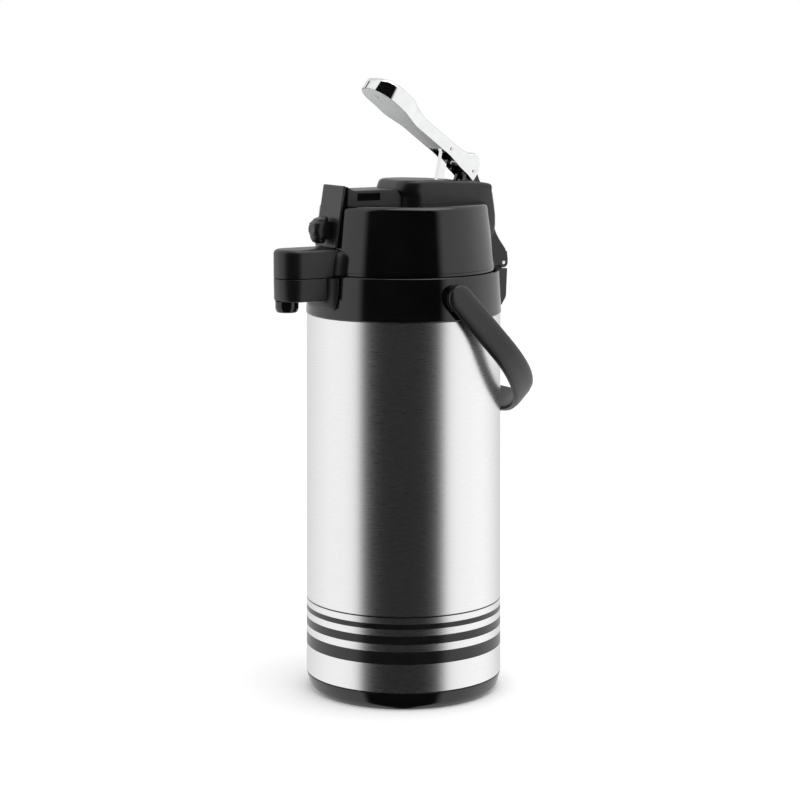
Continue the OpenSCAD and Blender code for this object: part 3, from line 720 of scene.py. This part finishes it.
# ---- lever ---------------------------------------------------------------------
def lever_point(x, u, v):
    """From the lever's own frame, u along it and v out of its top, to the pot's frame."""
    c, s = math.cos(LEVER_UP), math.sin(LEVER_UP)
    return (x, PIVOT.y - u * c + v * s, PIVOT.z + u * s + v * c)


# the lever, by distance u from its pivot: the paddle's round end is centred at PADDLE_U
LEVER_TIP = 120.9
PADDLE = 19.4
PADDLE_U = 101.5
LEVER_TOP = [(-4, 4.4), (-1, 9.6), (3, 12.6), (7, 13.2), (13, 9.6), (20, 8.4), (60, 8.4), (76, 10.2),
             (88, 12.4), (100, 12.9), (112, 12.4), (118, 10.2), (LEVER_TIP, 6.5)]
LEVER_UNDER = [(-4, -7.0), (6.5, -5.5), (32, -2.7), (78, -2.4), (98, -1.2), (LEVER_TIP, -1.2)]
LEVER_HALF = [(-4, 11.9), (66, 11.9), (88, PADDLE), (PADDLE_U, PADDLE)]


def lever_half(u):
    if u > PADDLE_U:
        return math.sqrt(max(0.5, PADDLE ** 2 - (u - PADDLE_U) ** 2))
    return along(LEVER_HALF, u)


def lever_section(u, skin=1.1):
    half, top, under = lever_half(u), along(LEVER_TOP, u), along(LEVER_UNDER, u)
    r = min(3.2, half * 0.45, (top - under) * 0.45)
    outer = fillet([(half, under), (half, top, r), (-half, top, r), (-half, under)], 6)
    inner_half = max(0.2, half - skin)
    inner_top = max(under + 0.3, top - skin)
    ri = max(0.1, r - skin)
    inner = fillet([(-inner_half, under), (-inner_half, inner_top, ri), (inner_half, inner_top, ri),
                    (inner_half, under)], 6)
    return [lever_point(x, u, v) for x, v in outer + inner]


def make_lever():
    """The hollow chrome lever and the pale plate in its underside."""
    us = [-4, -3, -2, -1, 0, 1.5, 3, 5, 7, 9, 11, 13, 16, 20, 26, 32, 40, 50, 58, 64]
    us += [66 + 2 * k for k in range(18)]
    turns = (8, 16, 24, 32, 40, 48, 56, 63, 70, 76, 81, 85, 89)
    us += [PADDLE_U + 19.3 * math.sin(math.radians(a)) for a in turns]
    obj = loft("lever_shell_chrome", [lever_section(u) for u in us], sharp=42)
    dress(obj, "lever", "lever_chrome", CHROME, "lever_shell")

    rings = []
    plate_r, plate_t = 18.6, 1.3
    cover_us = [37, 38, 44, 52, 60, 66] + [68 + 3 * k for k in range(12)]
    cover_us += [PADDLE_U + 18.2 * math.sin(math.radians(a)) for a in (10, 22, 34, 46, 58, 68, 78, 86)]
    for u in cover_us:
        if u > PADDLE_U:
            half = math.sqrt(max(1.0, plate_r ** 2 - (u - PADDLE_U) ** 2))
        else:
            half = along(LEVER_HALF, u) - 0.8
        under = along(LEVER_UNDER, u) - 0.3
        over = under + plate_t
        section = fillet([(half, under, 0.25), (half, over), (-half, over), (-half, under, 0.25)], 3)
        rings.append([lever_point(x, u, v) for x, v in section])
    dress(loft("lever_underside", rings, sharp=40), "lever", "cover_grey", PLATE, "lever_cover")


# ---- studio --------------------------------------------------------------------
def make_camera():
    """Looks from the right of the spout, a little above the lid, at the middle of the pot."""
    azimuth = math.radians(58)
    away, eye, aim, lens = 1.9, 0.5418, 0.2452, 103.3
    aside = 0.003
    data = bpy.data.cameras.new("camera")
    data.lens = lens
    data.sensor_width = 36
    data.clip_start, data.clip_end = 0.05, 50
    cam = bpy.data.objects.new("camera", data)
    bpy.context.scene.collection.objects.link(cam)
    cam.location = (away * math.sin(azimuth), -away * math.cos(azimuth), eye)
    cam.rotation_mode = "QUATERNION"
    target = Vector((-aside * math.cos(azimuth), -aside * math.sin(azimuth), aim))
    cam.rotation_quaternion = (target - cam.location).to_track_quat("-Z", "Y")
    bpy.context.scene.camera = cam
    return azimuth


def make_floor():
    mesh = bpy.data.meshes.new("floor")
    size = 12
    corners = [(-size, -size, 0), (size, -size, 0), (size, size, 0), (-size, size, 0)]
    mesh.from_pydata(corners, [], [(0, 1, 2, 3)])
    floor = bpy.data.objects.new("floor", mesh)
    bpy.context.scene.collection.objects.link(floor)
    mat, _, shader = new_material("pale_floor")
    shader.inputs["Base Color"].default_value = (0.93, 0.93, 0.93, 1)
    shader.inputs["Roughness"].default_value = 0.9
    shader.inputs["Specular IOR Level"].default_value = 0.0
    shader.inputs["Emission Color"].default_value = (1, 1, 1, 1)
    shader.inputs["Emission Strength"].default_value = 0.07
    mesh.materials.append(mat)
    floor.visible_glossy = False


def make_world(azimuth):
    """A white studio whose reflections hold two wide soft boxes with a dark gap at the front."""
    world = bpy.data.worlds.new("studio")
    bpy.context.scene.world = world
    world.use_nodes = True
    tree = world.node_tree
    back = tree.nodes["Background"]
    out = tree.nodes["World Output"]
    back.inputs["Color"].default_value = (1, 1, 1, 1)
    back.inputs["Strength"].default_value = 1.0
    seen = tree.nodes.new("ShaderNodeBackground")
    seen.inputs["Strength"].default_value = 1.0
    coord = tree.nodes.new("ShaderNodeTexCoord")
    turn = tree.nodes.new("ShaderNodeMapping")
    turn.inputs["Rotation"].default_value = (0, 0, -azimuth)
    split = tree.nodes.new("ShaderNodeSeparateXYZ")
    angle = tree.nodes.new("ShaderNodeMath")
    angle.operation = "ARCTAN2"
    flip = tree.nodes.new("ShaderNodeMath")
    flip.operation = "MULTIPLY"
    flip.inputs[1].default_value = -1.0
    unit = tree.nodes.new("ShaderNodeMapRange")
    unit.inputs["From Min"].default_value = -math.pi
    unit.inputs["From Max"].default_value = math.pi
    ramp = tree.nodes.new("ShaderNodeValToRGB")
    ramp.color_ramp.interpolation = "LINEAR"
    # brightness round the studio, by degrees right of the camera's direction
    stops = [(-180, 0.75), (-150, 0.9), (-100, 1.2), (-56, 1.2), (-48, 0.004), (44, 0.004), (53, 1.2),
             (110, 1.3), (150, 0.85), (180, 0.75)]
    ramp.color_ramp.elements.remove(ramp.color_ramp.elements[1])
    first = ramp.color_ramp.elements[0]
    first.position = 0
    first.color = (stops[0][1],) * 3 + (1,)
    for degrees, value in stops[1:]:
        stop = ramp.color_ramp.elements.new((degrees + 180) / 360)
        stop.color = (value,) * 3 + (1,)
    path = tree.nodes.new("ShaderNodeLightPath")
    mix = tree.nodes.new("ShaderNodeMixShader")
    link = tree.links.new
    link(coord.outputs["Generated"], turn.inputs["Vector"])
    link(turn.outputs["Vector"], split.inputs["Vector"])
    link(split.outputs["Y"], flip.inputs[0])
    link(split.outputs["X"], angle.inputs[0])
    link(flip.outputs[0], angle.inputs[1])
    link(angle.outputs[0], unit.inputs["Value"])
    link(unit.outputs["Result"], ramp.inputs["Fac"])
    link(ramp.outputs["Color"], seen.inputs["Color"])
    link(path.outputs["Is Glossy Ray"], mix.inputs["Fac"])
    link(back.outputs["Background"], mix.inputs[1])
    link(seen.outputs["Background"], mix.inputs[2])
    link(mix.outputs["Shader"], out.inputs["Surface"])


def make_light(name, place, target, size, power):
    data = bpy.data.lights.new(name, "AREA")
    data.shape = "RECTANGLE"
    data.size, data.size_y = size
    data.energy = power
    lamp = bpy.data.objects.new(name, data)
    bpy.context.scene.collection.objects.link(lamp)
    lamp.location = place
    lamp.rotation_mode = "QUATERNION"
    lamp.rotation_quaternion = (Vector(target) - Vector(place)).to_track_quat("-Z", "Y")
    lamp.visible_camera = False
    return lamp


make_base()
make_casing()
make_collar()
make_rear_bracket()
handle = loft("bail_handle", same_count(make_handle()), sharp=45)
dress(handle, "handle", "handle_plastic", HANDLE, "carry_handle")
make_drum()
make_saddle()
make_paddle_rest()
make_tower()
make_nose()
make_flange()
make_nozzle()
make_button()
make_lever()
view_azimuth = make_camera()
make_floor()
make_world(view_azimuth)
make_light("top_box", (0.3, 0.2, 1.7), (0, 0, 0.3), (1.2, 1.2), 9)
bpy.context.scene.view_settings.view_transform = "Standard"
